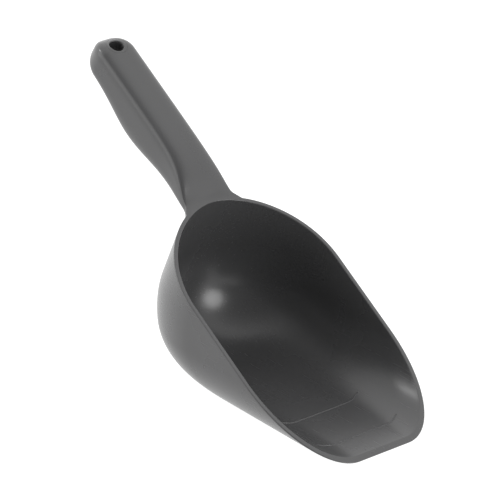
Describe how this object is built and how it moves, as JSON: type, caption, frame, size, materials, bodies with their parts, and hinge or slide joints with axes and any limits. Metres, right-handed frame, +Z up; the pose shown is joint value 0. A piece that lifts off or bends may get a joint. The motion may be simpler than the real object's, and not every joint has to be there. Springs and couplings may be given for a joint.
{
  "type": "ice scoop",
  "caption": "Ice scoop with a trough-shaped bowl, flat floor and round back under one sloping rim, and a hollow rounded grip in line with the rim ending in a hang hole.",
  "frame": {"origin": "bottom centre of the overall box, on the plane of the flat floor's underside", "axes": "+X towards the lip, +Y across the bowl, +Z up; the handle rises towards -X"},
  "size_m": [0.2449, 0.102, 0.1552],
  "materials": {
    "bowl_plastic": "satin dark grey moulded plastic, semi-gloss inside",
    "handle_plastic": "satin dark grey moulded plastic",
    "mark_plastic": "satin dark grey, same moulding colour as the bowl"
  },
  "bodies": {
    "root": {"bowl": "bowl_plastic", "level_line_low": "mark_plastic", "level_line_high": "mark_plastic", "handle_upper_shell": "handle_plastic", "handle_underside_cover": "handle_plastic", "hang_hole_sleeve": "handle_plastic"}
  },
  "joints": []
}
